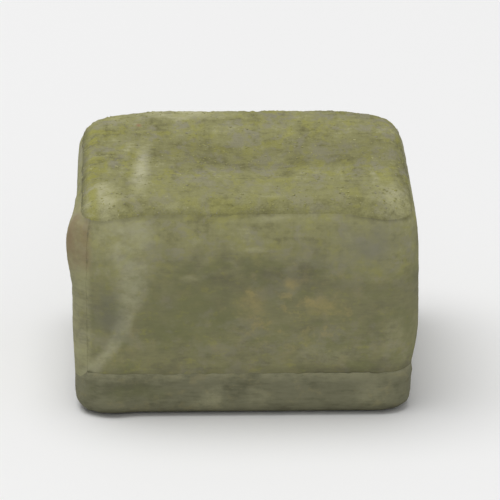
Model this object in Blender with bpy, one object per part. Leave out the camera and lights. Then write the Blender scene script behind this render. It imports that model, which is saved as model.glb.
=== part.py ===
"""A used cube of billiard cue chalk.

Three pieces, as they come apart on a bench: the pressed block with its worn hollow, the paper label wrapped
round the four sides, which laps over its own start at the left front corner, and the base label, whose edge is
folded up all round over the foot of the side label.

Metres, +Z up, front towards -Y. The origin is at the middle of the underside.
"""

import math

import bmesh
import bpy

# Driving dimensions of the cube.
CUBE_WIDTH = 0.0222  # over the side label, low on the wall: a 7/8 inch cube
WORN_HEIGHT = 0.0145  # table to the highest part of the rim; a new cube is as tall as it is wide
CORNER_RADIUS = 0.0024  # upright edges, in plan
FOOT_EDGE_RADIUS = 0.0008
RIM_EDGE_RADIUS = 0.0011  # the rim, rounded by use
CORNER_WEAR = 0.0009  # how much lower the rim is at its four corners
LEAN = 0.0004  # how far the walls lean in at the rim
LEAN_REACH = 0.0055  # height over which they do
FOOT_LEAN = 0.0004  # how far they stand in at the foot, below the base label's top edge
FOOT_LEAN_TOP = 0.0055  # height where they start to lean in towards the foot
HOLLOW_RADIUS = 0.0076  # where the cue tip is turned
HOLLOW_DEPTH = 0.0005

# Label paper and the paste under it. Paste only a twentieth of a millimetre thick is what holds such a label.
PAPER = 0.00012
PASTE = 0.00005

# Side label.
BARE_RIM = 0.0008  # the label's top edge is this far below the rim
CORNER_TEAR = 0.0006  # how much lower it is torn at the corners
TEAR_REACH = 0.0042  # along the label, from the middle of a corner to untorn paper
LAP_START = 0.0032  # the label starts this far behind the left front corner
LAP_RAMP = 0.0016  # length over which its other end climbs onto the start
LAP_LIFT = 0.00042  # how far the unglued end stands off
LAP_LIFT_WIDTH = 0.0032
LAP_LIFT_BELOW_RIM = 0.0034  # middle of the lifted patch
LAP_LIFT_HEIGHT = 0.0032

# Base label.
FLAP_HEIGHT = 0.0029  # top edge of the folded-up paper, above the table
LAP_DROP = 0.0006  # length over which it comes down off the side label's outer end

# How finely the shapes are divided.
ARC_STEPS = 7
STRAIGHT_STEPS = 12
EDGE_STEPS = 5
WALL_ROWS = 4
TOP_RINGS = 12
LABEL_ROWS = 7

# What follows from them.
BLOCK_HALF = CUBE_WIDTH / 2 - PAPER - PASTE
BLOCK_FOOT = PAPER + PASTE
WALL_FOOT = BLOCK_FOOT + FOOT_EDGE_RADIUS
STRAIGHT = 2 * (BLOCK_HALF - CORNER_RADIUS)
CORNER_ARC = math.pi / 2 * CORNER_RADIUS
SIDE = STRAIGHT + CORNER_ARC
GIRTH = 4 * SIDE
CORNER_REACH = math.sqrt(2) * (BLOCK_HALF - CORNER_RADIUS) + CORNER_RADIUS
LABEL_START = -CORNER_ARC - LAP_START
LABEL_END = GIRTH - CORNER_ARC / 2  # its outer end stops half-way round the corner


def clear_scene():
    for obj in list(bpy.data.objects):
        bpy.data.objects.remove(obj)


def material(name, colour, roughness):
    made = bpy.data.materials.new(name)
    made.use_nodes = True
    shader = made.node_tree.nodes["Principled BSDF"]
    shader.inputs["Base Color"].default_value = (*colour, 1)
    shader.inputs["Roughness"].default_value = roughness
    shader.inputs["Metallic"].default_value = 0
    return made


def add_object(name, bm, made):
    mesh = bpy.data.meshes.new(name)
    bm.to_mesh(mesh)
    bm.free()
    mesh.materials.append(made)
    mesh.shade_smooth()
    mesh.set_sharp_from_angle(angle=math.radians(40))
    obj = bpy.data.objects.new(name, mesh)
    bpy.context.scene.collection.objects.link(obj)
    return obj


def clamp(t):
    return min(max(t, 0), 1)


def smooth_step(t):
    t = clamp(t)
    return t * t * (3 - 2 * t)


def outline_point(along, out):
    """A point of the block's outline in plan, moved outwards by out.

    along is the length from the left end of the front, anticlockwise seen from above.
    """
    side, rest = divmod(along % GIRTH, SIDE)
    inner = BLOCK_HALF - CORNER_RADIUS
    if rest <= STRAIGHT:
        x, y = rest - inner, -BLOCK_HALF - out
    else:
        turn = (rest - STRAIGHT) / CORNER_RADIUS
        radius = CORNER_RADIUS + out
        x, y = inner + radius * math.sin(turn), -inner - radius * math.cos(turn)
    quarter = side * math.pi / 2
    c, s = math.cos(quarter), math.sin(quarter)
    return x * c - y * s, x * s + y * c


def side_stations(side):
    """Lengths along the outline that draw one side and the corner after it."""
    start = side * SIDE
    straight = [start + STRAIGHT * i / STRAIGHT_STEPS for i in range(STRAIGHT_STEPS)]
    return straight + [start + STRAIGHT + CORNER_ARC * i / ARC_STEPS for i in range(ARC_STEPS)]


def outline_stations():
    return [along for side in range(4) for along in side_stations(side)]


def ramp_stations():
    """Where the outer end of the side label climbs onto its start, from the top of the climb back."""
    return [GIRTH + LABEL_START - PAPER - LAP_RAMP * i / 4 for i in range(5)]


def lean(height):
    """How far the wall stands in from the outline at a height: straight near the foot, curved near the rim."""
    at_foot = clamp((FOOT_LEAN_TOP - height) / (FOOT_LEAN_TOP - FLAP_HEIGHT))
    return FOOT_LEAN * at_foot + LEAN * clamp((height - WORN_HEIGHT + LEAN_REACH) / LEAN_REACH) ** 2


def wall_heights(foot, top, rows):
    """Heights that draw a wall or a label: the two where the foot's lean starts and stops, then rows up to the top."""
    upper = [FOOT_LEAN_TOP + (top - FOOT_LEAN_TOP) * i / rows for i in range(1, rows + 1)]
    return [foot, FLAP_HEIGHT, FOOT_LEAN_TOP, *upper]


def top_height(x, y):
    """The worn top at a point in plan: hollow in the middle and lower towards the corners."""
    reach = math.hypot(x, y)
    worn = clamp((reach - BLOCK_HALF) / (CORNER_REACH - BLOCK_HALF))
    hollow = (1 + math.cos(math.pi * clamp(reach / HOLLOW_RADIUS))) / 2
    return WORN_HEIGHT - CORNER_WEAR * worn**2 - HOLLOW_DEPTH * hollow


def join_rings(bm, lower, upper):
    count = len(lower)
    for i in range(count):
        j = (i + 1) % count
        bm.faces.new((lower[i], lower[j], upper[j], upper[i]))


def block_column(along):
    """Points up the block at one station: round the foot edge, up the wall and over the rim to the top."""
    points = []
    for i in range(EDGE_STEPS):
        turn = math.pi / 2 * i / EDGE_STEPS
        inset = FOOT_EDGE_RADIUS * (1 - math.sin(turn))
        out = -lean(WALL_FOOT) - inset
        points.append((*outline_point(along, out), WALL_FOOT - FOOT_EDGE_RADIUS * math.cos(turn)))
    wall_top = top_height(*outline_point(along, -LEAN)) - RIM_EDGE_RADIUS
    for height in wall_heights(WALL_FOOT, wall_top, WALL_ROWS)[:-1]:
        points.append((*outline_point(along, -lean(height)), height))
    for i in range(EDGE_STEPS + 1):
        turn = math.pi / 2 * i / EDGE_STEPS
        x, y = outline_point(along, -lean(wall_top) - RIM_EDGE_RADIUS * (1 - math.cos(turn)))
        points.append((x, y, top_height(x, y) - RIM_EDGE_RADIUS * (1 - math.sin(turn))))
    edge_x, edge_y, _ = points[-1]
    for i in range(1, TOP_RINGS):
        x, y = edge_x * (1 - i / TOP_RINGS), edge_y * (1 - i / TOP_RINGS)
        points.append((x, y, top_height(x, y)))
    return points


def chalk_block(made):
    bm = bmesh.new()
    columns = [block_column(along) for along in outline_stations()]
    rings = [[bm.verts.new(point) for point in ring] for ring in zip(*columns)]
    for lower, upper in zip(rings, rings[1:]):
        join_rings(bm, lower, upper)
    bm.faces.new(rings[0][::-1])
    middle = bm.verts.new((0, 0, top_height(0, 0)))
    last = rings[-1]
    for here, there in zip(last, last[1:] + last[:1]):
        bm.faces.new((here, there, middle))
    return add_object("chalk_block", bm, made)


def label_top(along):
    """Height of the side label's top edge: level, and torn lower round each corner."""
    from_corner = abs((along + CORNER_ARC / 2 + SIDE / 2) % SIDE - SIDE / 2)
    return WORN_HEIGHT - BARE_RIM - CORNER_TEAR * smooth_step(1 - from_corner / TEAR_REACH)


def label_out(along, height):
    """How far the side label's inner face stands off the wall, at a station of its outermost layer."""
    under_ramp = along - LABEL_START - (GIRTH - LAP_RAMP - PAPER)
    climb = smooth_step(under_ramp / LAP_RAMP)
    across = 1 - abs(along - GIRTH + CORNER_ARC) / LAP_LIFT_WIDTH
    up = 1 - abs(height - WORN_HEIGHT + LAP_LIFT_BELOW_RIM) / LAP_LIFT_HEIGHT
    lift = LAP_LIFT * smooth_step(across) * smooth_step(up) if climb == 1 else 0
    return PASTE + (PAPER + PASTE) * climb + lift


def side_label(made):
    """One strip of paper, wound once round the block from the left side, its end lapped over its start."""
    foot = WALL_FOOT + PASTE
    turns = [along + turn for turn in (-GIRTH, 0) for along in outline_stations()]
    inside = [along for along in turns if LABEL_START < along < LABEL_END]
    bm = bmesh.new()
    columns = []
    for along in sorted({LABEL_START, LABEL_END, *ramp_stations(), *inside}):
        top = label_top(along)
        heights = wall_heights(foot, top, LABEL_ROWS)
        outs = [label_out(along, z) - lean(z) for z in heights]
        inner = [bm.verts.new((*outline_point(along, out), z)) for out, z in zip(outs, heights)]
        outer = [bm.verts.new((*outline_point(along, out + PAPER), z)) for out, z in zip(outs, heights)]
        columns.append(outer + inner[::-1])
    for here, there in zip(columns, columns[1:]):
        join_rings(bm, here, there)
    bm.faces.new(columns[0])
    bm.faces.new(columns[-1][::-1])
    bmesh.ops.recalc_face_normals(bm, faces=bm.faces)
    return add_object("side_label", bm, made)


def flap_out(along):
    """How far the base label's inner face stands off the wall: over one layer of the side label, or over two."""
    past_end = (along - LABEL_END) % GIRTH
    drop = (PAPER + PASTE) * (1 - smooth_step(past_end / LAP_DROP))
    return label_out(along, WALL_FOOT) + drop + PAPER + PASTE


def flap_column(along):
    """Points up the inner face of the base label at one station: round the fold, then up over the side label."""
    points = []
    for i in range(EDGE_STEPS + 1):
        turn = math.pi / 2 * i / EDGE_STEPS
        radius = FOOT_EDGE_RADIUS + PASTE + (flap_out(along) - PASTE) * smooth_step(i / EDGE_STEPS)
        out = radius * math.sin(turn) - FOOT_EDGE_RADIUS - lean(WALL_FOOT)
        points.append((*outline_point(along, out), WALL_FOOT - radius * math.cos(turn)))
    return points + [(*outline_point(along, flap_out(along) - lean(FLAP_HEIGHT)), FLAP_HEIGHT)]


def base_label(made):
    """A square of paper under the block, folded up all round its foot and pressed close at the corners."""
    start = LABEL_END - GIRTH
    drop_stations = [start + LAP_DROP * i / 4 for i in range(5)]
    turns = [along + turn for turn in (-GIRTH, 0) for along in outline_stations()]
    inside = [along for along in turns if start < along < LABEL_END]
    bm = bmesh.new()
    columns = [flap_column(along) for along in sorted({*drop_stations, *ramp_stations(), *inside})]
    rings = [[bm.verts.new(point) for point in ring] for ring in zip(*columns)]
    for lower, upper in zip(rings, rings[1:]):
        join_rings(bm, lower, upper)
    bm.faces.new(rings[0][::-1])
    label = add_object("base_label", bm, made)
    thickness = label.modifiers.new("Paper", "SOLIDIFY")
    thickness.thickness = PAPER
    thickness.offset = 1
    thickness.use_even_offset = True
    return label


def main():
    clear_scene()
    chalk_block(material("pressed_chalk", (0.27, 0.26, 0.13), 0.95))
    side_label(material("label_paper", (0.19, 0.185, 0.11), 0.75))
    base_label(material("base_paper", (0.14, 0.135, 0.085), 0.75))


main()
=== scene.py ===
"""A used cube of billiard cue chalk: the pressed block, the grit on its worn top, the paper round its
sides and the paper folded up over its foot, on a pale floor in soft studio light.

Metres, +Z up, front towards -Y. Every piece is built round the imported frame, which is loaded first.
"""

import math
import random

import bmesh
import bpy
from bpy.props import FloatProperty, FloatVectorProperty, IntProperty, PointerProperty
from bpy.types import Operator, Panel, PropertyGroup
from mathutils import Matrix, Vector, noise


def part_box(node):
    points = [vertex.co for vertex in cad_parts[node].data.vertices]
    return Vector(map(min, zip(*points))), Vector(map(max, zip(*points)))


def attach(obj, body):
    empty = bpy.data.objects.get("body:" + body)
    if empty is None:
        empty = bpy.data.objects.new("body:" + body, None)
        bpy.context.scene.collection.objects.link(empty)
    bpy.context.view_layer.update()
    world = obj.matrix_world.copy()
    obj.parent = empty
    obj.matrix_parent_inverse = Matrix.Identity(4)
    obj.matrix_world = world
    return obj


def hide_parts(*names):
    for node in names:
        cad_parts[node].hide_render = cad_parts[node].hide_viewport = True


bl_info = {
    "name": "Cue Chalk Cube",
    "version": (1, 0, 0),
    "blender": (4, 5, 0),
    "location": "View3D > Sidebar > Chalk",
    "description": "Models a used, paper-wrapped cube of cue chalk and its stage",
    "category": "Add Mesh",
}

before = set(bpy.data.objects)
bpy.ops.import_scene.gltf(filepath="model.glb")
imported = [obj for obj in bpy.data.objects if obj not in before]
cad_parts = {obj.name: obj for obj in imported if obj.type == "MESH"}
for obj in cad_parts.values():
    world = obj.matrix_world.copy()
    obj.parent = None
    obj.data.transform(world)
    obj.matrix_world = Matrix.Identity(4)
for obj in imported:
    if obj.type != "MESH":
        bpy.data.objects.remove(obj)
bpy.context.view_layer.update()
BLOCK_LOW, BLOCK_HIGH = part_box("chalk_block")
SIDE_LOW, SIDE_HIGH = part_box("side_label")
BASE_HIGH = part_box("base_label")[1]

MM = 0.001
PAPER_AND_PASTE = SIDE_HIGH.x - BLOCK_HIGH.x

# How finely the pieces are divided.
TOP_CELLS = 230
WALL_ROWS = 16
FOOT_ROWS = 5
LABEL_COLUMNS = 460
LABEL_ROWS = 64
BASE_STATIONS = 480
FOLD_ROWS = 8
FLAP_ROWS = 14

# The share of its thickness that each label keeps at its torn edge.
THINNEST = 0.07
THINNEST_FLAP = 0.08
# Both labels are drawn thicker than their paper by this share of the paste under them, which closes the gap.
TOUCHING = 0.85
# How far below its torn edge the side label has its whole thickness.
THINNED_TOP = 0.8 * MM
# The share of its length over which the side label's free end thins.
THINNED_END = 1 / 150
# How far from its torn edge, and from its free end, the side label is pressed down.
PRESSED_TOP = 1.3 * MM
PRESSED_END = 1.8 * MM
# The block is worn above the side label, down to this far below the label's highest point at most, and
# wholly from this far above the label's edge.
LOWEST_WEAR = 1.5 * MM
WEAR_REACH = 0.7 * MM
# How far the torn fibres' roots are below the label's edge.
ROOT_DEPTH = 0.03 * MM
EDGE_FIBRES = 420
END_FIBRES = 60
# The seeds of the random draws for the grit and for the fibres.
GRIT_SEED = 5
FIBRE_SEED = 8

# The camera looks at the middle of the cube, and then a little to the right of it and above it.
CUBE_MIDDLE = Vector((0, 0, 6.9 * MM))
AIM_SHIFT = Vector((0.41 * MM, 0.77 * MM, 0))
SENSOR_WIDTH = 36
# Where the soft lights are, in metres, and how wide.
TOP_LIGHT = Vector((-0.16, 0.10, 0.85))
TOP_LIGHT_SIZE = 0.9
FRONT_LIGHT = Vector((0.15, -0.9, 0.35))
FRONT_LIGHT_SIZE = 0.7
FLOOR_SIZE = 3
FLOOR_COLOUR = (0.88, 0.88, 0.88, 1)

# Nicks in the side label's torn edge: the middle of each in millimetres, half its width, and its depth.
NICKS = (
    (Vector((-2.0, -10.9, 0)), 1.6, 0.16),
    (Vector((7.9, -10.9, 0)), 1.4, 0.14),
    (Vector((10.9, 3.1, 0)), 1.3, 0.30),
    (Vector((10.9, -5.6, 0)), 0.8, 0.16),
    (Vector((4.2, 10.9, 0)), 1.8, 0.34),
    (Vector((-5.0, 10.9, 0)), 1.1, 0.20),
    (Vector((-10.9, 5.8, 0)), 1.5, 0.30),
    (Vector((-10.9, -0.6, 0)), 0.9, 0.22),
)

# Knocks on the rim: the middle of each in millimetres, its radius and its depth.
KNOCKS = (
    (Vector((0.9, 10.7, 14.5)), 0.8, 0.30),
    (Vector((-9.6, -9.7, 13.4)), 1.7, 0.16),
    (Vector((9.8, -9.6, 13.3)), 1.7, 0.20),
    (Vector((-2.0, -10.8, 13.8)), 1.2, 0.20),
    (Vector((7.9, -10.8, 13.7)), 1.1, 0.22),
    (Vector((10.8, 2.6, 14.0)), 1.1, 0.16),
    (Vector((-10.7, 4.1, 14.0)), 0.9, 0.14),
)


def number(name, description, default, least=0):
    return FloatProperty(name=name, description=description, default=default, min=least)


def length(name, description, default):
    kind = {"min": 0, "precision": 5, "subtype": "DISTANCE", "unit": "LENGTH"}
    return FloatProperty(name=name, description=description, default=default, **kind)


def angle(name, description, degrees):
    kind = {"subtype": "ANGLE", "unit": "ROTATION"}
    return FloatProperty(name=name, description=description, default=math.radians(degrees), **kind)


def colour(name, description, default):
    kind = {"min": 0, "max": 1, "subtype": "COLOR"}
    return FloatVectorProperty(name=name, description=description, default=default, **kind)


class BlockSizes(PropertyGroup):
    corner_radius: length("Corner radius", "Radius of the upright edges, in plan", 2.4 * MM)
    foot_radius: length("Foot radius", "Radius of the edge round the underside", 0.8 * MM)
    rim_radius: length("Rim radius", "How round the rim is worn", 1.1 * MM)
    corner_wear: length("Corner wear", "How much lower the rim is at its corners", 0.9 * MM)
    lean: length("Lean", "How far the walls lean in at the rim", 0.4 * MM)
    lean_reach: length("Lean reach", "Height over which the walls lean in", 5.5 * MM)
    foot_lean: length("Foot lean", "How far the walls lean in at the foot", 0.4 * MM)
    foot_skew: length("Foot skew", "How far the foot is out of line with the rim, to the left", 0.26 * MM)
    foot_lean_top: length("Foot lean top", "Height where the walls start to lean in to the foot", 5.6 * MM)
    hollow_radius: length("Hollow radius", "Radius of the hollow the cue tip is turned in", 7.6 * MM)
    hollow_depth: length("Hollow depth", "Depth of that hollow", 0.5 * MM)
    grit_count: IntProperty(name="Grit", description="Number of loose grains on the top", default=1500, min=0)


class PaperSizes(PropertyGroup):
    paper: length("Paper", "Thickness of both labels", 0.12 * MM)
    corner_tear: length("Corner tear", "How much lower the side label is torn at the corners", 0.6 * MM)
    tear_reach: length("Tear reach", "Length of label from a corner to untorn paper", 4.2 * MM)
    lap_start: length("Lap start", "The label starts this far behind the left front corner", 3.2 * MM)
    lap_ramp: length("Lap ramp", "Length over which the other end climbs onto the start", 1.6 * MM)
    lap_lift: length("Lap lift", "How far the loose end of the lap stands off", 0.42 * MM)
    lap_lift_size: length("Lap lift size", "Half the width and height of the lifted patch", 3.2 * MM)
    lap_lift_drop: length("Lap lift drop", "From the rim down to the middle of the lifted patch", 3.4 * MM)
    lap_drop: length("Lap drop", "Length over which the base label comes down off the lap's end", 0.6 * MM)
    loose_front: length("Loose front", "How far the base label stands off below the front", 0.32 * MM)


class ChalkColours(PropertyGroup):
    chalk: colour("Chalk", "Clean pressed chalk", (0.272, 0.264, 0.118))
    # Deep chalk is also the painted shade in the hollow and in the pits.
    deep_chalk_and_shade: colour("Deep chalk", "Chalk in pits and hollows", (0.150, 0.142, 0.060))
    # Pale chalk is also the painted highlights just below the side label's rim and along the base label's top
    # edge.
    pale_chalk_and_highlight: colour("Pale chalk", "Crushed chalk and dust", (0.455, 0.440, 0.262))
    # Fleck is also the painted yellow highlight along the block's left edge.
    fleck_and_highlight: colour("Fleck", "Yellow-green flecks of pigment", (0.320, 0.310, 0.070))
    ash: colour("Ash", "Grey patches rubbed smooth", (0.272, 0.257, 0.185))
    paper: colour("Side label", "Scuffed paper low on the walls", (0.228, 0.221, 0.110))
    # Grime is also the painted shade in grooves, along the torn rim and its nicks, and towards the base
    # label's foot.
    grime_and_shade: colour("Grime", "Dirt in folds and along edges", (0.075, 0.070, 0.045))
    rust: colour("Rust", "Brown stains", (0.370, 0.308, 0.128))
    flap: colour("Base label", "Darker paper of the base label", (0.184, 0.180, 0.110))
    deep_flap: colour("Deep base label", "Base label where it is worn or dirty", (0.122, 0.120, 0.070))
    # Deep side label is also the band of painted shade across the middle of the walls.
    deep_paper_and_shade: colour("Deep side label", "Side label where it is worn or dirty", (0.165, 0.158, 0.090))
    moss: colour("Moss", "Greener patches of dust", (0.174, 0.182, 0.076))
    slate: colour("Slate", "Cool grey patches low on the wall", (0.170, 0.170, 0.120))
    dust: colour("Dust", "Streaks of powder", (0.520, 0.505, 0.340))
    brown: colour("Brown", "The stained lap", (0.240, 0.172, 0.095))
    brick: colour("Brick", "A red speck", (0.330, 0.150, 0.080))


class StageSettings(PropertyGroup):
    distance: length("Distance", "From the camera to the cube", 0.320)
    elevation: angle("Elevation", "Camera angle above level", 18)
    turn: angle("Turn", "Camera angle to the right of the front", -1.35)
    lens: number("Lens", "Focal length in millimetres on a 36 mm sensor", 346.7, least=1)
    top_light: number("Top light", "Watts of the soft light overhead", 5.8)
    front_light: number("Front light", "Watts of the soft light in front", 1.35)
    room_light: number("Room light", "Strength of the light from all round", 0.38)


def clamp(share):
    return min(max(share, 0.0), 1.0)


def smooth_step(share):
    """Rises smoothly from 0 to 1 as the share does, and stays level outside them."""
    share = clamp(share)
    return share * share * (3 - 2 * share)


class Outline:
    """The block in plan: a square with round corners, anticlockwise from the left end of the front."""

    def __init__(self, half, corner):
        self.half = half
        self.corner = corner
        self.straight = 2 * (half - corner)
        self.arc = math.pi / 2 * corner
        self.side = self.straight + self.arc
        self.girth = 4 * self.side
        self.reach = math.sqrt(2) * (half - corner) + corner

    def point(self, along, out):
        """The outline's point at a station, moved outwards."""
        side, rest = divmod(along % self.girth, self.side)
        inner = self.half - self.corner
        if rest <= self.straight:
            x, y = rest - inner, -self.half - out
        else:
            turn = (rest - self.straight) / self.corner
            radius = self.corner + out
            x, y = inner + radius * math.sin(turn), -inner - radius * math.cos(turn)
        cosine, sine = ((1, 0), (0, 1), (-1, 0), (0, -1))[int(side) % 4]
        return x * cosine - y * sine, x * sine + y * cosine

    def along(self, x, y):
        """The station nearest a point of the walls, or None for a point well inside them."""
        inner = self.half - self.corner
        for side in range(4):
            if x >= -inner and y <= -inner:
                turn = math.atan2(x - inner, -inner - y)
                rest = x + inner if x <= inner else self.straight + self.corner * turn
                return side * self.side + rest
            x, y = y, -x
        return None

    def from_corner(self, along):
        """How far a station is from the middle of the nearest corner."""
        return abs((along + self.arc / 2 + self.side / 2) % self.side - self.side / 2)


class Block:
    """Heights and walls of the worn block, from its sizes."""

    def __init__(self, sizes):
        self.sizes = sizes
        self.outline = Outline(BLOCK_HIGH.x, sizes.corner_radius)
        self.wall_foot = BLOCK_LOW.z + sizes.foot_radius

    def near_foot(self, height):
        """How far down towards the foot a height is, from 0 to 1."""
        top = self.sizes.foot_lean_top
        return smooth_step((top - height) / (top - self.sizes.foot_radius))

    def lean(self, height):
        """How far the wall leans in at a height."""
        sizes = self.sizes
        at_rim = clamp((height - BLOCK_HIGH.z + sizes.lean_reach) / sizes.lean_reach) ** 2
        return sizes.lean * at_rim + sizes.foot_lean * self.near_foot(height)

    def at(self, along, out, height):
        """A place off the outline, moved with the foot, which is a little out of line with the rim."""
        x, y = self.outline.point(along, out)
        return Vector((x - self.sizes.foot_skew * self.near_foot(height), y, height))

    def top(self, x, y):
        """Height of the top at a place: lower at the corners and in the hollow."""
        sizes = self.sizes
        reach = math.hypot(x, y)
        worn = clamp((reach - self.outline.half) / (self.outline.reach - self.outline.half))
        hollow = (1 + math.cos(math.pi * clamp(reach / sizes.hollow_radius))) / 2
        return BLOCK_HIGH.z - sizes.corner_wear * worn**2 - sizes.hollow_depth * hollow

    def wall_top(self, along):
        """Height where the wall ends and the round rim starts."""
        return self.top(*self.outline.point(along, -self.sizes.lean)) - self.sizes.rim_radius

    def place(self, right, back, row):
        """Where a point of the flat grid goes: the top for row 0, then down the wall and round the foot."""
        sizes = self.sizes
        ring = max(abs(right), abs(back))
        if ring == 0:
            return Vector((0, 0, self.top(0, 0)))
        side, across = self.side_of(right / ring, back / ring)
        along = side * self.outline.side + self.outline.side * (across + 1) / 2 - self.outline.arc / 2
        wall_top = self.wall_top(along)
        if row == 0:
            flat = self.outline.half - sizes.rim_radius
            run = ring * (flat + math.pi / 2 * sizes.rim_radius)
            turn = max(run - flat, 0) / sizes.rim_radius
            inset = self.lean(wall_top) + sizes.rim_radius * (1 - math.sin(turn))
            x, y = self.outline.point(along, -inset)
            share = min(run / flat, 1)
            x, y = x * share, y * share
            return Vector((x, y, self.top(x, y) - sizes.rim_radius * (1 - math.cos(turn))))
        if row <= WALL_ROWS:
            height = wall_top + (self.wall_foot - wall_top) * row / WALL_ROWS
            return self.at(along, -self.lean(height), height)
        turn = math.pi / 2 * (row - WALL_ROWS) / FOOT_ROWS
        inset = self.lean(self.wall_foot) + sizes.foot_radius * (1 - math.cos(turn))
        height = self.wall_foot - sizes.foot_radius * math.sin(turn)
        return self.at(along, -inset, height)

    @staticmethod
    def side_of(right, back):
        """Which side a point of the square's edge is on, and how far along it, from -1 to 1."""
        if back <= -1:
            return 0, right
        if right >= 1:
            return 1, back
        if back >= 1:
            return 2, -right
        return 3, -back


class Label:
    """Where the side label's paper lies, and the base label's over it."""

    def __init__(self, block, sizes):
        self.block = block
        self.sizes = sizes
        outline = block.outline
        self.paste = PAPER_AND_PASTE - sizes.paper
        self.drawn = sizes.paper + TOUCHING * self.paste
        self.foot = SIDE_LOW.z
        self.start = -outline.arc - sizes.lap_start
        self.end = outline.girth - outline.arc / 2

    def climb(self, along):
        """How far this end has climbed the ramp onto the label's start, from 0 to 1."""
        past_start = along - self.start - self.block.outline.girth + self.sizes.paper
        return smooth_step(past_start / self.sizes.lap_ramp + 1)

    def out(self, along, height):
        """How far the inner face stands off the wall, at a station of the outermost layer."""
        sizes = self.sizes
        outline = self.block.outline
        climb = self.climb(along)
        across = 1 - abs(along - outline.girth + outline.arc) / sizes.lap_lift_size
        up = 1 - abs(height - BLOCK_HIGH.z + sizes.lap_lift_drop) / sizes.lap_lift_size
        lift = sizes.lap_lift * smooth_step(across) * smooth_step(up) if climb == 1 else 0
        return self.paste + PAPER_AND_PASTE * climb + lift

    def top(self, along):
        """Height of the torn top edge: lower round the corners, with nicks and a ragged line."""
        outline = self.block.outline
        torn = self.sizes.corner_tear * smooth_step(1 - outline.from_corner(along) / self.sizes.tear_reach)
        x, y = outline.point(along, 0)
        spot = Vector((x, y, 0)) / MM
        ragged = 0.13 * MM * abs(noise.noise(spot * 2.3)) + 0.08 * MM * abs(noise.noise(spot * 7.0))
        nicks = (deep * smooth_step(2 - 2 * (spot - middle).length / half) for middle, half, deep in NICKS)
        return SIDE_HIGH.z - torn - ragged - max(nicks) * MM

    def body(self, along, height):
        """How much of its thickness the paper has: it thins towards its torn edge."""
        return smooth_step((self.top(along) - height) / THINNED_TOP)

    def layer(self, along, height):
        """How far the paper's inner face is drawn off the wall. It all but touches what is under it."""
        block = self.block
        radius = block.sizes.rim_radius
        over_rim = min(max(height - block.wall_top(along), 0), radius)
        pressed_in = radius - math.sqrt(radius**2 - over_rim**2)
        loose = self.out(along, height) - self.out(along, block.wall_foot)
        near_top = smooth_step(1 - (self.top(along) - height) / PRESSED_TOP)
        near_edge = max(near_top, smooth_step(1 - (self.end - along) / PRESSED_END))
        pressed_in += (loose + 0.8 * (1 - TOUCHING) * self.paste) * near_edge
        pressed_in += self.climb(along) * self.drawn * (1 - THINNEST) * (1 - self.body(along, height))
        return self.out(along, height) - block.lean(height) - TOUCHING * self.paste - pressed_in

    def base_layer(self, along):
        """How far the base label's inner face stands off the wall: over one layer of this one, or two."""
        past_end = (along - self.end) % self.block.outline.girth
        drop = PAPER_AND_PASTE * (1 - smooth_step(past_end / self.sizes.lap_drop))
        return self.out(along, self.block.wall_foot) + drop + PAPER_AND_PASTE - TOUCHING * self.paste


def deselect():
    if bpy.context.mode != "OBJECT":
        bpy.ops.object.mode_set(mode="OBJECT")
    bpy.ops.object.select_all(action="DESELECT")


def extrude_edge(rows, step):
    """Extrudes the edge of the active sheet row by row, and leaves it in edit mode."""
    bpy.ops.object.mode_set(mode="EDIT")
    bpy.ops.mesh.select_mode(type="EDGE")
    bpy.ops.mesh.select_all(action="SELECT")
    bpy.ops.mesh.region_to_loop()
    for _ in range(rows):
        bpy.ops.mesh.extrude_region_move(TRANSFORM_OT_translate={"value": (0, 0, step)})


def thicken(paper, thickness, body, thinnest):
    """Gives a sheet its thickness, outwards. Where its body is 0, only the thinnest share is left."""
    modifier = paper.modifiers.new("Paper", "SOLIDIFY")
    modifier.thickness = thickness
    modifier.offset = 1
    modifier.vertex_group = body.name
    modifier.thickness_vertex_group = thinnest
    bpy.context.view_layer.objects.active = paper
    bpy.ops.object.modifier_apply(modifier=modifier.name)


def scattered(scene, name, drawn):
    """Makes one object of the many small pieces that were drawn."""
    mesh = bpy.data.meshes.new(name)
    drawn.to_mesh(mesh)
    drawn.free()
    obj = bpy.data.objects.new(name, mesh)
    scene.collection.objects.link(obj)
    return obj


def finish_piece(obj, material, slot, *nodes):
    """Paints a piece, shades it smooth but for its real edges, and fixes it to the frame."""
    obj.data.materials.clear()
    obj.data.materials.append(material)
    deselect()
    obj.select_set(True)
    bpy.context.view_layer.objects.active = obj
    bpy.ops.object.shade_smooth_by_angle(angle=math.radians(50))
    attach(obj, "root")
    if nodes:
        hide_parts(*nodes)


def sum_with(operation):
    """A method that adds a Math node for a value and another."""
    return lambda value, other: value.math(operation, value, other)


class Value:
    """A number that changes over a surface. Sums and products of it add Math nodes to its finish."""

    def __init__(self, finish, socket):
        self.finish = finish
        self.socket = socket

    def math(self, operation, *values):
        node = self.finish.node("ShaderNodeMath", {"operation": operation}, *values)
        return Value(self.finish, node.outputs[0])

    __add__ = sum_with("ADD")
    __sub__ = sum_with("SUBTRACT")
    __mul__ = sum_with("MULTIPLY")
    __truediv__ = sum_with("DIVIDE")
    __pow__ = sum_with("POWER")
    at_least = sum_with("MAXIMUM")

    def __rsub__(self, other):
        return self.math("SUBTRACT", other, self)

    def __abs__(self):
        return self.math("ABSOLUTE", self)

    def rise(self, low, high):
        """0 below low, 1 above high, and smooth between them. Low may be the larger, for a fall."""
        node = self.finish.node(
            "ShaderNodeMapRange",
            {"interpolation_type": "SMOOTHSTEP"},
            **{"Value": self, "From Min": low, "From Max": high, "To Min": 0, "To Max": 1},
        )
        return Value(self.finish, node.outputs[0])


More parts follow.
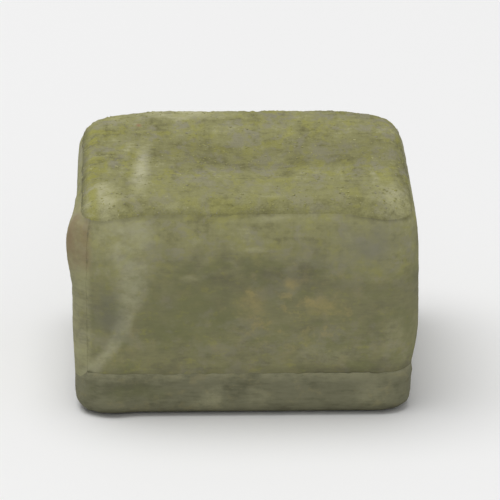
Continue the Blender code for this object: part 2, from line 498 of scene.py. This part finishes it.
class Finish:
    """A material being made. Its patterns are laid out in millimetres of the cube's own space."""

    def __init__(self, name, roughness):
        self.material = bpy.data.materials.new(name)
        self.material.use_nodes = True
        self.tree = self.material.node_tree
        self.shader = self.tree.nodes["Principled BSDF"]
        self.shader.inputs["Roughness"].default_value = roughness
        self.shader.inputs["Specular IOR Level"].default_value = 0.25
        place = self.node("ShaderNodeTexCoord").outputs["Object"]
        scaled = self.node("ShaderNodeVectorMath", {"operation": "SCALE"}, Vector=place, Scale=1 / MM)
        self.place = scaled.outputs[0]
        split = self.node("ShaderNodeSeparateXYZ", {}, self.place)
        self.x, self.y, self.z = (Value(self, socket) for socket in split.outputs)
        self.colour = None

    def node(self, kind, settings=None, *values, **named):
        """Adds a node: its settings first, then the values or links of its sockets, in order or by name."""
        node = self.tree.nodes.new(kind)
        for key, value in (settings or {}).items():
            setattr(node, key, value)
        sockets = [*zip(node.inputs, values)]
        for name, value in named.items():
            named_socket = next(socket for socket in node.inputs if socket.enabled and socket.name == name)
            sockets.append((named_socket, value))
        for socket, value in sockets:
            self.plug(socket, value)
        return node

    def plug(self, socket, value):
        if isinstance(value, Value):
            value = value.socket
        if isinstance(value, bpy.types.NodeSocket):
            self.tree.links.new(value, socket)
        elif socket.type == "RGBA":
            socket.default_value = (*value, 1)
        else:
            socket.default_value = value

    def laid(self, scale, shift):
        """Places on the cube, scaled and then shifted, for a pattern to be laid out on."""
        mapping = self.node("ShaderNodeMapping", Vector=self.place, Location=shift, Scale=scale)
        return mapping.outputs[0]

    def noise(self, size, stretch=(1, 1, 1), *, seed, detail=4, rough=0.55, warp=0):
        """Clouds from 0 to 1 whose lumps are about size millimetres across, drawn out by stretch."""
        scale = tuple(1 / (size * longer) for longer in stretch)
        shift = (seed * 3.7, seed * 1.9, seed * 2.3)
        clouds = self.node(
            "ShaderNodeTexNoise",
            Vector=self.laid(scale, shift),
            Scale=1,
            Detail=detail,
            Roughness=rough,
            Distortion=warp,
        )
        return Value(self, clouds.outputs[0])

    def grains(self, size):
        """Distance from the middle of the nearest grain, in grain widths."""
        place = self.laid((1 / size,) * 3, (0, 0, 0))
        cells = self.node("ShaderNodeTexVoronoi", Vector=place, Scale=1)
        return Value(self, cells.outputs["Distance"])

    def patch(self, across, up, half_across, half_up, ragged, warp, axes="xz"):
        """1 in the middle of an oval patch and 0 outside it, with a ragged edge. All in millimetres."""
        first, second = (getattr(self, axis) for axis in axes)
        wide = (first - across) / half_across
        tall = (second - up) / half_up
        far = (wide * wide + tall * tall) ** 0.5 + (warp - 0.5) * (2 * ragged)
        return far.rise(1, 0)

    def mix(self, under, over, amount):
        node = self.node("ShaderNodeMix", {"data_type": "RGBA"}, Factor=amount, A=under, B=over)
        return next(socket for socket in node.outputs if socket.enabled)

    def coat(self, colour, amount):
        """Paints a colour over what is there so far."""
        self.colour = self.mix(self.colour, colour, amount)

    def daub(self, colour, ovals, share, warp, axes="xz"):
        """Paints patches. Each has its place, its half sizes, how ragged it is and how strong."""
        for *oval, strength in ovals:
            self.coat(colour, self.patch(*oval, warp, axes) * share * strength)

    def bump(self, height, depth, strength, under=None):
        node = self.node("ShaderNodeBump", Strength=strength, Distance=depth, Height=height)
        if under is not None:
            self.plug(node.inputs["Normal"], under)
        return node.outputs[0]

    def done(self, normal):
        self.plug(self.shader.inputs["Base Color"], self.colour)
        self.plug(self.shader.inputs["Normal"], normal)
        return self.material


def chalk_colour(finish, colours):
    """Pressed chalk: mottled olive with yellow flecks, grey patches and streaks rubbed from side to side."""
    clouds = finish.noise(1.5, (1.2, 2.2, 1), detail=8, rough=0.66, seed=1)
    fine = finish.noise(0.34, (1.3, 2.0, 1), detail=4, rough=0.6, seed=2)
    streaks = finish.noise(0.34, (12, 1, 1), detail=3, rough=0.6, seed=3)
    crossed = finish.noise(0.30, (1, 12, 12), detail=2, seed=14)
    tone = clouds * 0.52 + fine * 0.22 + streaks * 0.18 + crossed * 0.08
    made = finish.mix(colours.deep_chalk_and_shade, colours.chalk, tone.rise(0.37, 0.53))
    made = finish.mix(made, colours.pale_chalk_and_highlight, tone.rise(0.52, 0.66) * 0.65)
    ash = finish.noise(1.2, (1.2, 2.4, 1), detail=7, rough=0.64, warp=0.4, seed=5).rise(0.49, 0.62)
    made = finish.mix(made, colours.ash, ash * 0.75)
    bloom = finish.noise(0.9, (1.2, 2.4, 1), detail=6, rough=0.62, warp=0.3, seed=6).rise(0.50, 0.64)
    specks = finish.noise(0.28, (1.2, 2.4, 1), detail=3, rough=0.6, seed=7).rise(0.55, 0.68)
    return finish.mix(made, colours.fleck_and_highlight, bloom * 0.50 + specks * 0.18)


def rubbed(finish, seed):
    """A patchy mask, for dust that was rubbed on and for stains."""
    return finish.noise(0.8, (1.6, 1, 1), detail=6, rough=0.7, seed=seed).rise(0.34, 0.60)


def chalk_material(colours):
    finish = Finish("pressed_chalk", 0.95)
    x, y, z = finish.x, finish.y, finish.z
    warp = finish.noise(1.2, detail=5, rough=0.65, seed=4)
    patchy = rubbed(finish, 10)
    finish.colour = chalk_colour(finish, colours)
    # Painted shade in the hollow, and a painted highlight in clean chalk colour on the lip in front of it.
    hollow_shade = abs(y - 0.3).rise(5.2, 1.2) * abs(x - 2).rise(10.5, 6)
    finish.coat(colours.deep_chalk_and_shade, hollow_shade * 0.36)
    lip = y.rise(-4.8, -7.5) * (warp * 0.4 + 0.3)
    finish.coat(colours.chalk, lip * 0.8)
    # Pale patches where the chalk is crushed, and one long streak of powder.
    crushed = (
        (-3.8, 9.2, 4.6, 2.0, 0.7, 1.00),
        (-8.6, 8.2, 3.0, 3.0, 0.9, 0.40),
        (-9.3, -8.7, 1.9, 3.2, 0.8, 0.85),
        (9.5, -8.6, 2.0, 3.2, 0.8, 0.60),
        (1.6, -9.6, 1.5, 0.45, 0.6, 0.40),
    )
    finish.daub(colours.pale_chalk_and_highlight, crushed, patchy * 0.7 + 0.3, warp, "xy")
    bend = (y + 4.5) * 0.05
    streak = (((x + 6.85 - bend) / 0.85) ** 2 + ((y + 3.8) / 7.2) ** 2) ** 0.5 + (warp - 0.5) * 1.1
    finish.coat(colours.dust, streak.rise(1.05, 0.0) * (patchy * 0.35 + 0.40))
    # The edges: a painted yellow highlight along the left edge, and darker at both ends.
    edge_highlight = abs(x + 10.0).rise(0.7, 0.1) * warp.rise(0.42, 0.6)
    finish.coat(colours.fleck_and_highlight, edge_highlight * 0.7)
    edge = x.rise(-10.15, -10.6) * 0.6 + x.rise(10.3, 10.8) * 0.08
    finish.coat(colours.grime_and_shade, edge * 0.55)
    # Painted shade in the groove where the block meets the paper.
    groove_shade = z.rise(13.85, 13.45) * warp.rise(0.40, 0.60)
    finish.coat(colours.grime_and_shade, groove_shade * 0.16)
    brick = finish.patch(-6.9, 6.4, 0.28, 0.5, 0.5, warp, "xy")
    finish.coat(colours.brick, brick * 0.6)
    # The grain of the surface, with small pits and painted shade in them.
    grains = finish.grains(0.16)
    fine = finish.noise(0.22, detail=5, rough=0.65, seed=8)
    pits = finish.noise(0.9, (1.6, 1, 1), detail=3, seed=9).rise(0.40, 0.28)
    finish.coat(colours.deep_chalk_and_shade, pits * 0.25)
    normal = finish.bump(fine - grains * 0.5, 0.08 * MM, 0.8)
    normal = finish.bump(1 - pits, 0.06 * MM, 0.5, normal)
    return finish.done(normal)


def grit_material(colours):
    finish = Finish("chalk_grit", 0.9)
    speck = finish.noise(0.35, detail=1, seed=11)
    finish.colour = finish.mix(colours.chalk, colours.fleck_and_highlight, speck.rise(0.48, 0.60) * 0.5)
    finish.coat(colours.ash, speck.rise(0.42, 0.34))
    finish.coat(colours.pale_chalk_and_highlight, speck.rise(0.60, 0.66) * 0.6)
    normal = finish.bump(finish.noise(0.06, detail=2, seed=12), 0.02 * MM, 0.6)
    return finish.done(normal)


def paper_grain(finish, seed):
    """Paper that has been rubbed: fine fibres lying level, and a soft unevenness."""
    fibres = finish.noise(0.16, (7, 7, 1), detail=4, rough=0.6, seed=seed)
    soft = finish.noise(0.7, (1.7, 1.7, 1), detail=5, rough=0.62, seed=seed + 1)
    return fibres, soft


def side_material(colours):
    """The side label: olive paper under chalk dust that thins downwards and also paints it lighter towards
    the rim, with smears, scuffs, stains and painted shade.
    """
    finish = Finish("label_paper", 0.8)
    x, y, z = finish.x, finish.y, finish.z
    fibres, soft = paper_grain(finish, 21)
    clouds = finish.noise(2.2, (1.6, 1.6, 1), detail=6, rough=0.62, seed=23)
    warp = finish.noise(1.3, detail=5, rough=0.65, seed=24)
    patchy = rubbed(finish, 29)
    front = y.rise(-8.6, -10.0)
    tone = clouds * 0.45 + soft * 0.35 + fibres * 0.20
    # The paper itself, mottled with moss, ash and rust.
    finish.colour = finish.mix(colours.deep_paper_and_shade, colours.paper, tone.rise(0.38, 0.56))
    finish.coat(colours.pale_chalk_and_highlight, tone.rise(0.54, 0.72) * 0.35)
    green = finish.noise(1.5, (1.4, 1.4, 1), detail=5, rough=0.65, seed=26).rise(0.46, 0.62)
    finish.coat(colours.moss, green * 0.50)
    moss = finish.patch(-3.4, 7.0, 4.0, 3.8, 0.9, warp) * front
    finish.coat(colours.moss, moss * 0.58)
    cool = finish.noise(1.7, (1.3, 1.3, 1), detail=5, rough=0.65, seed=25).rise(0.50, 0.64)
    finish.coat(colours.ash, cool * 0.38)
    warm = finish.noise(0.8, (1.3, 1.3, 1), detail=5, rough=0.7, seed=30).rise(0.52, 0.66)
    warm_bed = finish.patch(3.0, 7.4, 6.0, 3.6, 0.9, warp) * front * 0.6 + 0.12
    finish.coat(colours.rust, warm * warm_bed)
    specks = finish.noise(0.55, (1.5, 1.5, 1), detail=6, rough=0.75, seed=31).rise(0.54, 0.66)
    finish.coat(colours.fleck_and_highlight, specks * 0.30)
    # Chalk dust from the top, which also paints the walls lighter towards the rim as painted light, a pale
    # painted highlight just below the rim, and a band of painted shade below them.
    dust = (z + (clouds - 0.5) * 9).rise(8.5, 13.5)
    finish.coat(chalk_colour(finish, colours), dust * 0.9)
    finish.coat(colours.pale_chalk_and_highlight, (z + (clouds - 0.5) * 4).rise(9.6, 13.0) * 0.12)
    low = abs(z - 7.8 + (clouds - 0.5) * 5).rise(3.0, 0.5)
    finish.coat(colours.deep_paper_and_shade, low * 0.24)
    # A smear of powder down the left of the front, bowed to the left as it comes down.
    bow = (12.2 - z).at_least(0) ** 3.2 * 0.0023
    width = z.rise(5, 12.0) * 1.30 + 0.72
    smear = (abs(x + 7.35 + bow) / width + (warp - 0.5) * 1.1).rise(1.1, 0.1)
    smear = smear * z.rise(1.6, 3.0) * z.rise(14.0, 12.5)
    finish.coat(colours.dust, smear * front * (patchy * 0.24 + 0.14))
    # Pale scuffs on the front.
    scuffs = (
        (0.6, 11.3, 1.7, 0.28, 0.9, 0.45),
        (1.5, 13.3, 1.5, 0.35, 0.9, 0.40),
        (-3.6, 9.4, 0.9, 0.40, 0.9, 0.30),
        (5.3, 4.1, 2.6, 1.0, 0.9, 0.30),
        (9.4, 5.2, 1.4, 3.0, 0.9, 0.22),
        (-9.2, 11.9, 1.6, 1.8, 0.9, 0.40),
    )
    finish.daub(colours.pale_chalk_and_highlight, scuffs, front * patchy, warp)
    # Pale drifts of dust on the sides and the back.
    drift = finish.noise(2.4, (1, 1, 2.4), detail=5, rough=0.6, warp=0.8, seed=44).rise(0.54, 0.70)
    finish.coat(colours.pale_chalk_and_highlight, drift * patchy * (1 - front) * 0.32)
    # Cool patches, then rust stains.
    cool_patch = finish.patch(7.8, 11.4, 3.4, 2.1, 0.9, warp) * front
    finish.coat(colours.ash, cool_patch * 0.50)
    finish.coat(colours.slate, cool_patch * 0.35)
    cool_left = finish.patch(-8.9, 6.9, 1.5, 2.4, 0.9, warp) * front
    finish.coat(colours.slate, cool_left * 0.55)
    stains = (
        (0.2, 7.6, 1.4, 1.6, 1.0, 0.50),
        (2.9, 9.0, 0.9, 0.7, 1.0, 0.75),
        (4.9, 7.5, 1.9, 1.1, 1.0, 0.55),
    )
    finish.daub(colours.rust, stains, front * (patchy * 0.6 + 0.4), warp)
    # A faint dark band across the front.
    band = abs(z - 9.1 + (clouds - 0.5) * 3).rise(0.8, 0.1) * x.rise(-5, -3)
    finish.coat(colours.grime_and_shade, band * front * 0.12)
    # The left wall by the front corner: pale, and stained brown where the lap stands off.
    start = x.rise(-9.9, -10.4) * y.rise(-6.0, -8.6)
    finish.coat(colours.pale_chalk_and_highlight, start * (tone.rise(0.40, 0.58) * 0.25 + 0.14))
    stained = finish.patch(-9.2, 11.4, 3.4, 3.2, 0.7, warp, "yz") * x.rise(-9.8, -10.4)
    finish.coat(colours.brown, stained * (patchy * 0.22 + 0.60))
    # Grime and painted shade above the base label's edge, and painted shade along the torn rim.
    fold_dirt_and_shade = (z + (warp - 0.5) * 0.8).rise(3.5, 2.95)
    finish.coat(colours.grime_and_shade, fold_dirt_and_shade * (x.rise(-4, 5) * 0.18 + clouds * 0.24))
    torn = (z + (warp - 0.5) * 1.2).rise(13.2, 13.7) * finish.noise(1.8, seed=27).rise(0.45, 0.62)
    finish.coat(colours.grime_and_shade, torn * 0.14)
    # Painted shade in the nicks of the torn rim, towards both ends of the front.
    at_rim = abs(z - 13.5 + abs(x).rise(6.5, 10.5) * 0.45 + (warp - 0.5) * 0.3).rise(0.34, 0.05)
    ends = x.rise(5.5, 7.5) * 0.40 + x.rise(-2.5, -5) * 0.18
    finish.coat(colours.grime_and_shade, at_rim * front * ends)
    wrinkles = finish.noise(1.4, (1, 1, 2.4), detail=3, rough=0.5, warp=0.4, seed=28)
    normal = finish.bump(wrinkles, 0.10 * MM, 0.7)
    normal = finish.bump(soft * 0.6 + fibres * 0.4, 0.05 * MM, 0.7, normal)
    return finish.done(normal)


def base_material(colours):
    """The base label: darker, greyer paper with a painted highlight along its top edge and painted shade
    towards its foot, and smeared.
    """
    finish = Finish("base_paper", 0.8)
    z = finish.z
    fibres, soft = paper_grain(finish, 31)
    clouds = finish.noise(1.8, (1.8, 1.8, 1), detail=6, rough=0.64, seed=33)
    warp = finish.noise(1.2, detail=5, rough=0.65, seed=34)
    patchy = rubbed(finish, 37)
    tone = clouds * 0.45 + soft * 0.30 + fibres * 0.25
    finish.colour = finish.mix(colours.deep_flap, colours.flap, tone.rise(0.38, 0.56))
    finish.coat(colours.ash, tone.rise(0.54, 0.70) * 0.40)
    warm = finish.noise(0.7, (1.6, 1.6, 1), detail=5, rough=0.7, seed=36).rise(0.54, 0.66)
    finish.coat(colours.rust, warm * 0.16)
    finish.coat(colours.moss, finish.patch(-7.2, 1.7, 4, 0.9, 0.9, warp) * 0.35)
    front = finish.y.rise(-8.6, -10.0)
    # Pale smears on the front.
    smears = (
        (-2.3, 0.9, 1.8, 1.3, 0.9, 0.40),
        (0.6, 1.1, 1.2, 1.3, 0.9, 0.25),
        (8.2, 1.4, 1.8, 1.3, 0.9, 0.22),
    )
    finish.daub(colours.pale_chalk_and_highlight, smears, front * (patchy * 0.6 + 0.4), warp)
    # A painted highlight along the base label's top edge.
    lit_top_edge = (z + (warp - 0.5) * 0.5).rise(2.1, 2.80)
    finish.coat(colours.pale_chalk_and_highlight, lit_top_edge * (patchy * 0.22 + 0.06))
    # Painted shade towards the foot, where the paper curves under.
    foot = (z + (warp - 0.5) * 0.6).rise(0.9, 0.05)
    finish.coat(colours.grime_and_shade, foot * 0.34)
    normal = finish.bump(finish.noise(1.2, (2, 2, 1), seed=35), 0.08 * MM, 0.6)
    normal = finish.bump(soft * 0.5 + fibres * 0.5, 0.05 * MM, 0.7, normal)
    return finish.done(normal)


def fibre_material(colours):
    finish = Finish("torn_fibre", 0.9)
    mottled = finish.noise(0.5, detail=1, seed=41).rise(0.4, 0.6)
    finish.colour = finish.mix(colours.chalk, colours.ash, mottled)
    normal = finish.bump(finish.noise(0.05, detail=1, seed=42), 0.01 * MM, 0.5)
    return finish.done(normal)


def wear_depth(spot, up):
    """How deep the surface is worn at a spot in millimetres, along its normal. up is 1 on the level top."""
    lumps = noise.fractal(spot * 0.42, 0.8, 2.1, 4)
    rubbed = noise.noise(Vector((spot.x * 0.22, spot.y * 1.9, spot.z * 1.9)))
    scratched = noise.noise(Vector((spot.x * 0.5, spot.y * 4.5, spot.z * 4.5 + 9)))
    fine = noise.fractal(spot * 2.2 + Vector((3, 5, 8)), 0.7, 2.2, 3)
    grain = noise.noise(spot * 7.5)
    pits = smooth_step(noise.noise(spot * 1.25 + Vector((11, 2, 6))) * 2.6 - 0.85)
    depth = 0.05 * lumps + 0.045 * rubbed + 0.03 * scratched + 0.04 * fine + 0.022 * grain
    return (0.03 + depth + 0.07 * pits) * (0.25 + 0.75 * up)


def wear_down(obj, label):
    """Moves the points above the side label inwards, as use and knocks have."""
    mesh = obj.data
    normals = [vertex.normal.copy() for vertex in mesh.vertices]
    for vertex, normal in zip(mesh.vertices, normals):
        if vertex.co.z < SIDE_HIGH.z - LOWEST_WEAR:
            continue
        spot = vertex.co / MM
        along = label.block.outline.along(vertex.co.x, vertex.co.y)
        bare = 1 if along is None else smooth_step((vertex.co.z - label.top(along)) / WEAR_REACH)
        depth = wear_depth(spot, smooth_step(normal.z * 1.6))
        for middle, radius, deep in KNOCKS:
            far = (spot - middle).length + 0.5 * noise.noise(spot * 1.7)
            depth += deep * smooth_step(1.25 - far / radius)
        vertex.co -= normal * max(depth, -0.03) * bare * MM


class CHALK_OT_block(Operator):
    """Model the pressed block: a grid drawn into its top, extruded down its walls and closed at its foot"""

    bl_idname = "chalk.block"
    bl_label = "Pressed block"

    def execute(self, context):
        scene = context.scene
        shape = Block(scene.chalk_block)
        deselect()
        bpy.ops.mesh.primitive_grid_add(x_subdivisions=TOP_CELLS, y_subdivisions=TOP_CELLS, size=2)
        block = context.object
        block.name = "pressed_block"
        extrude_edge(WALL_ROWS + FOOT_ROWS, -1)
        bpy.ops.mesh.edge_face_add()
        bpy.ops.object.mode_set(mode="OBJECT")
        for vertex in block.data.vertices:
            right, back, row = vertex.co
            vertex.co = shape.place(right, back, round(-row))
        block.data.update()
        wear_down(block, Label(shape, scene.chalk_paper))
        finish_piece(block, chalk_material(scene.chalk_colours), "pressed_chalk", "chalk_block")
        return {"FINISHED"}


class CHALK_OT_grit(Operator):
    """Scatter grains of crushed chalk, half sunk, over the block's top and rim"""

    bl_idname = "chalk.grit"
    bl_label = "Grit"

    def execute(self, context):
        scene = context.scene
        block = bpy.data.objects["pressed_block"]
        pick = random.Random(GRIT_SEED)
        lowest = SIDE_HIGH.z - 0.3 * MM
        bare = [point for point in block.data.vertices if point.co.z > lowest and point.normal.z > 0.3]
        grains = bmesh.new()
        for vertex in pick.choices(bare, k=scene.chalk_block.grit_count):
            bed = noise.noise(vertex.co / MM * 0.6 + Vector((2, 9, 4)))
            radius = pick.uniform(0.035, 0.085) * (1 + 0.6 * bed) * MM
            flat = Matrix.Diagonal((pick.uniform(1, 1.8), 1, pick.uniform(0.5, 0.8), 1))
            turned = Matrix.Rotation(pick.uniform(0, math.tau), 4, "Z")
            laid = vertex.normal.to_track_quat("Z", "Y").to_matrix().to_4x4()
            where = Matrix.Translation(vertex.co - vertex.normal * radius * 0.15)
            placed = where @ laid @ turned @ flat
            bmesh.ops.create_icosphere(grains, subdivisions=1, radius=radius, matrix=placed)
        noise.seed_set(GRIT_SEED)
        for vertex in grains.verts:
            vertex.co += noise.noise_vector(vertex.co / MM * 9) * 0.012 * MM
        grit = scattered(scene, "chalk_grit", grains)
        finish_piece(grit, grit_material(scene.chalk_colours), "pressed_chalk")
        return {"FINISHED"}


class CHALK_OT_side_label(Operator):
    """Wrap a flat strip of paper round the block, lapped over its own start, and give it its thickness"""

    bl_idname = "chalk.side_label"
    bl_label = "Side label"

    def execute(self, context):
        scene = context.scene
        block = Block(scene.chalk_block)
        label = Label(block, scene.chalk_paper)
        deselect()
        bpy.ops.mesh.primitive_grid_add(x_subdivisions=LABEL_COLUMNS, y_subdivisions=LABEL_ROWS, size=2)
        paper = context.object
        paper.name = "side_wrapper"
        body = paper.vertex_groups.new(name="Body")
        for vertex in paper.data.vertices:
            wound, up = (vertex.co.x + 1) / 2, (vertex.co.y + 1) / 2
            along = label.start + (label.end - label.start) * wound
            height = label.foot + (label.top(along) - label.foot) * up
            spot = Vector((*block.outline.point(along, 0), height)) / MM
            puckered = smooth_step((height - 3 * MM) / (5 * MM)) * smooth_step((1 - up) * 9)
            crease = 0.05 * abs(noise.fractal(spot * 0.5 + Vector((0, 0, 40)), 0.9, 2.1, 3))
            crease = (crease + 0.03 * abs(noise.fractal(spot * 1.7, 0.8, 2.1, 2))) * puckered * MM
            vertex.co = block.at(along, label.layer(along, height) + crease, height)
            near_end = smooth_step((1 - wound) / THINNED_END)
            body.add([vertex.index], label.body(along, height) * near_end, "REPLACE")
        thicken(paper, label.drawn, body, THINNEST)
        finish_piece(paper, side_material(scene.chalk_colours), "label_paper", "side_label")
        return {"FINISHED"}


class CHALK_OT_base_label(Operator):
    """Fold a sheet of paper up round the foot: a filled outline, its edge extruded and pressed round it"""

    bl_idname = "chalk.base_label"
    bl_label = "Base label"

    def execute(self, context):
        scene = context.scene
        label = Label(Block(scene.chalk_block), scene.chalk_paper)
        deselect()
        bpy.ops.mesh.primitive_circle_add(vertices=BASE_STATIONS, radius=1, fill_type="NGON")
        paper = context.object
        paper.name = "base_wrapper"
        extrude_edge(FOLD_ROWS + FLAP_ROWS, 1)
        bpy.ops.object.mode_set(mode="OBJECT")
        for vertex in paper.data.vertices:
            turn = math.atan2(vertex.co.y, vertex.co.x) / math.tau
            vertex.co = self.folded(label, turn * label.block.outline.girth, round(vertex.co.z))
        bpy.ops.object.mode_set(mode="EDIT")
        bpy.ops.mesh.select_all(action="SELECT")
        bpy.ops.mesh.normals_make_consistent(inside=False)
        bpy.ops.object.mode_set(mode="OBJECT")
        if max(paper.data.polygons, key=lambda face: len(face.vertices)).normal.z > 0:
            paper.data.flip_normals()
        body = paper.vertex_groups.new(name="Body")
        for vertex in paper.data.vertices:
            below_edge = smooth_step((BASE_HIGH.z - vertex.co.z - 0.1 * MM) / (0.5 * MM))
            loose = 0.2 * smooth_step(1 - abs(vertex.co.x / MM - 6.5) / 4.5)
            body.add([vertex.index], max(below_edge, loose), "REPLACE")
        thicken(paper, label.drawn, body, THINNEST_FLAP)
        finish_piece(paper, base_material(scene.chalk_colours), "base_paper", "base_label")
        return {"FINISHED"}

    @staticmethod
    def folded(label, along, row):
        """Where a point of the paper lies, folded: row 0 is under the block, the last is the top edge."""
        block = label.block
        outline = block.outline
        foot = block.sizes.foot_radius
        under = label.paste * (1 - TOUCHING)
        if row <= FOLD_ROWS:
            turn = math.pi / 2 * row / FOLD_ROWS
            radius = foot + under + (label.base_layer(along) - under) * smooth_step(row / FOLD_ROWS)
            out, height = radius * math.sin(turn) - foot, block.wall_foot - radius * math.cos(turn)
            up = 0
        else:
            up = (row - FOLD_ROWS) / FLAP_ROWS
            spot = Vector((*outline.point(along, 0), 3 * MM)) / MM
            ragged = 0.14 * MM * abs(noise.fractal(spot * 0.9, 0.8, 2.2, 4))
            height = block.wall_foot + (BASE_HIGH.z - ragged - block.wall_foot) * up
            out = label.base_layer(along)
        spot = Vector((*outline.point(along, out), height)) / MM
        crumpled = abs(noise.fractal(Vector((spot.x, spot.y, spot.z * 0.5)) * 0.9, 0.9, 2.1, 3))
        near_corner = smooth_step(1 - outline.from_corner(along) / (outline.arc * 0.8))
        pleated = near_corner * smooth_step(math.sin(along / MM * 5.5))
        in_front = smooth_step(-spot.y - 9.5)
        lifted = smooth_step(1 - abs(spot.x + 8.6) / 1.9) * in_front
        loose = label.sizes.loose_front * smooth_step((-spot.y - 9) / 1.2) * (0.6 + 0.9 * lifted)
        at_fold = smooth_step(row / FOLD_ROWS * 1.4) * (1 - up) ** 2
        at_edge = smooth_step(up * 2 - 1) * smooth_step(1 - abs(spot.x - 6.5) / 3.0) * in_front
        out += 0.02 * MM * at_edge
        out += 0.06 * MM * crumpled * (1 - up) + 0.07 * MM * pleated * at_fold + loose * at_fold
        lean = block.lean(max(height, block.wall_foot))
        return block.at(along, out - lean, height)


class CHALK_OT_fibres(Operator):
    """Stand torn paper fibres along the side label's top edge and its lap"""

    bl_idname = "chalk.fibres"
    bl_label = "Torn fibres"

    def execute(self, context):
        scene = context.scene
        block = Block(scene.chalk_block)
        label = Label(block, scene.chalk_paper)
        pick = random.Random(FIBRE_SEED)
        strands = bmesh.new()
        in_paper = scene.chalk_paper.paper / 4
        for _ in range(EDGE_FIBRES):
            along = pick.uniform(label.start, label.end)
            height = label.top(along)
            out = label.layer(along, height) + in_paper
            root = Vector((*block.outline.point(along, out), height - ROOT_DEPTH))
            ahead = Vector((*block.outline.point(along + 0.1 * MM, out), height - ROOT_DEPTH)) - root
            self.fibre(strands, pick, root, ahead.normalized(), Vector((0, 0, 1)))
        for _ in range(END_FIBRES):
            height = pick.uniform(label.foot + 2 * MM, label.top(label.end))
            out = label.layer(label.end, height) + in_paper
            root = block.at(label.end, out, height)
            ahead = block.at(label.end + 0.2 * MM, out, height) - root
            self.fibre(strands, pick, root, Vector((0, 0, 1)), ahead.normalized())
        fibres = scattered(scene, "torn_fibres", strands)
        finish_piece(fibres, fibre_material(scene.chalk_colours), "label_paper")
        return {"FINISHED"}

    @staticmethod
    def fibre(strands, pick, root, side, out):
        """One tapered three-sided fibre, bent over to one side."""
        reach = pick.uniform(0.08, 0.26) * MM
        thick = pick.uniform(0.008, 0.016) * MM
        lean = pick.uniform(-1.1, 1.1)
        across = side.cross(out)
        rings = []
        for step in range(4):
            share = step / 3
            rise = out * reach * share * (1 - 0.25 * abs(lean) * share)
            middle = root + rise + side * reach * lean * share * share
            radius = thick * (1 - 0.75 * share)
            ring = []
            for corner in range(3):
                turn = math.tau * corner / 3
                spoke = side * math.cos(turn) + across * math.sin(turn)
                ring.append(strands.verts.new(middle + spoke * radius))
            rings.append(ring)
        for lower, upper in zip(rings, rings[1:]):
            for corner in range(3):
                ahead = (corner + 1) % 3
                strands.faces.new((lower[corner], lower[ahead], upper[ahead], upper[corner]))
        strands.faces.new(rings[0][::-1])
        strands.faces.new(rings[-1])


class CHALK_OT_stage(Operator):
    """Set the camera, the pale floor and the soft lights"""

    bl_idname = "chalk.stage"
    bl_label = "Stage"

    def execute(self, context):
        scene = context.scene
        settings = scene.chalk_stage
        tilt = Matrix.Rotation(math.pi / 2 - settings.elevation, 3, "X")
        view = Matrix.Rotation(settings.turn, 3, "Z") @ tilt
        aim = CUBE_MIDDLE + view @ AIM_SHIFT
        place = aim + view @ Vector((0, 0, settings.distance))
        deselect()
        bpy.ops.object.camera_add(location=place, rotation=view.to_euler())
        camera = context.object
        camera.name = "camera"
        camera.data.lens = settings.lens
        camera.data.sensor_width = SENSOR_WIDTH
        camera.data.clip_start = 0.01
        scene.camera = camera
        deselect()
        bpy.ops.mesh.primitive_plane_add(size=FLOOR_SIZE, location=(0, 0, 0))
        floor = context.object
        floor.name = "floor"
        floor.data.materials.append(self.floor_material())
        self.soft_light("top_light", TOP_LIGHT, TOP_LIGHT_SIZE, settings.top_light)
        self.soft_light("front_light", FRONT_LIGHT, FRONT_LIGHT_SIZE, settings.front_light)
        world = scene.world or bpy.data.worlds.new("room")
        scene.world = world
        world.use_nodes = True
        background = world.node_tree.nodes["Background"]
        background.inputs["Color"].default_value = (1, 1, 1, 1)
        background.inputs["Strength"].default_value = settings.room_light
        scene.view_settings.view_transform = "Standard"
        return {"FINISHED"}

    @staticmethod
    def soft_light(name, place, size, power):
        """A round light that faces the cube."""
        deselect()
        facing = place.to_track_quat("Z", "Y").to_euler()
        bpy.ops.object.light_add(type="AREA", location=place, rotation=facing)
        light = bpy.context.object
        light.name = name
        light.data.shape = "DISK"
        light.data.size = size
        light.data.energy = power

    @staticmethod
    def floor_material():
        finish = Finish("pale_floor", 0.7)
        finish.shader.inputs["Base Color"].default_value = FLOOR_COLOUR
        return finish.material


class CHALK_PT_panel(Panel):
    """Everything that makes the cube, in order"""

    bl_label = "Cue Chalk Cube"
    bl_space_type = "VIEW_3D"
    bl_region_type = "UI"
    bl_category = "Chalk"

    def draw(self, context):
        for name in GROUPS:
            group = getattr(context.scene, name)
            box = self.layout.box()
            for setting in group.__annotations__:
                box.prop(group, setting)
        for operator in OPERATORS:
            self.layout.operator(operator.bl_idname)


GROUPS = {
    "chalk_block": BlockSizes,
    "chalk_paper": PaperSizes,
    "chalk_colours": ChalkColours,
    "chalk_stage": StageSettings,
}
OPERATORS = (
    CHALK_OT_stage,
    CHALK_OT_block,
    CHALK_OT_grit,
    CHALK_OT_side_label,
    CHALK_OT_base_label,
    CHALK_OT_fibres,
)


def register():
    for cls in (*GROUPS.values(), *OPERATORS, CHALK_PT_panel):
        bpy.utils.register_class(cls)
    for name, group in GROUPS.items():
        setattr(bpy.types.Scene, name, PointerProperty(type=group))


def unregister():
    for name in GROUPS:
        delattr(bpy.types.Scene, name)
    for cls in (CHALK_PT_panel, *reversed(OPERATORS), *GROUPS.values()):
        bpy.utils.unregister_class(cls)


def main():
    register()
    bpy.ops.chalk.stage()
    bpy.ops.chalk.block()
    bpy.ops.chalk.grit()
    bpy.ops.chalk.side_label()
    bpy.ops.chalk.base_label()
    bpy.ops.chalk.fibres()


if __name__ == "__main__":
    main()
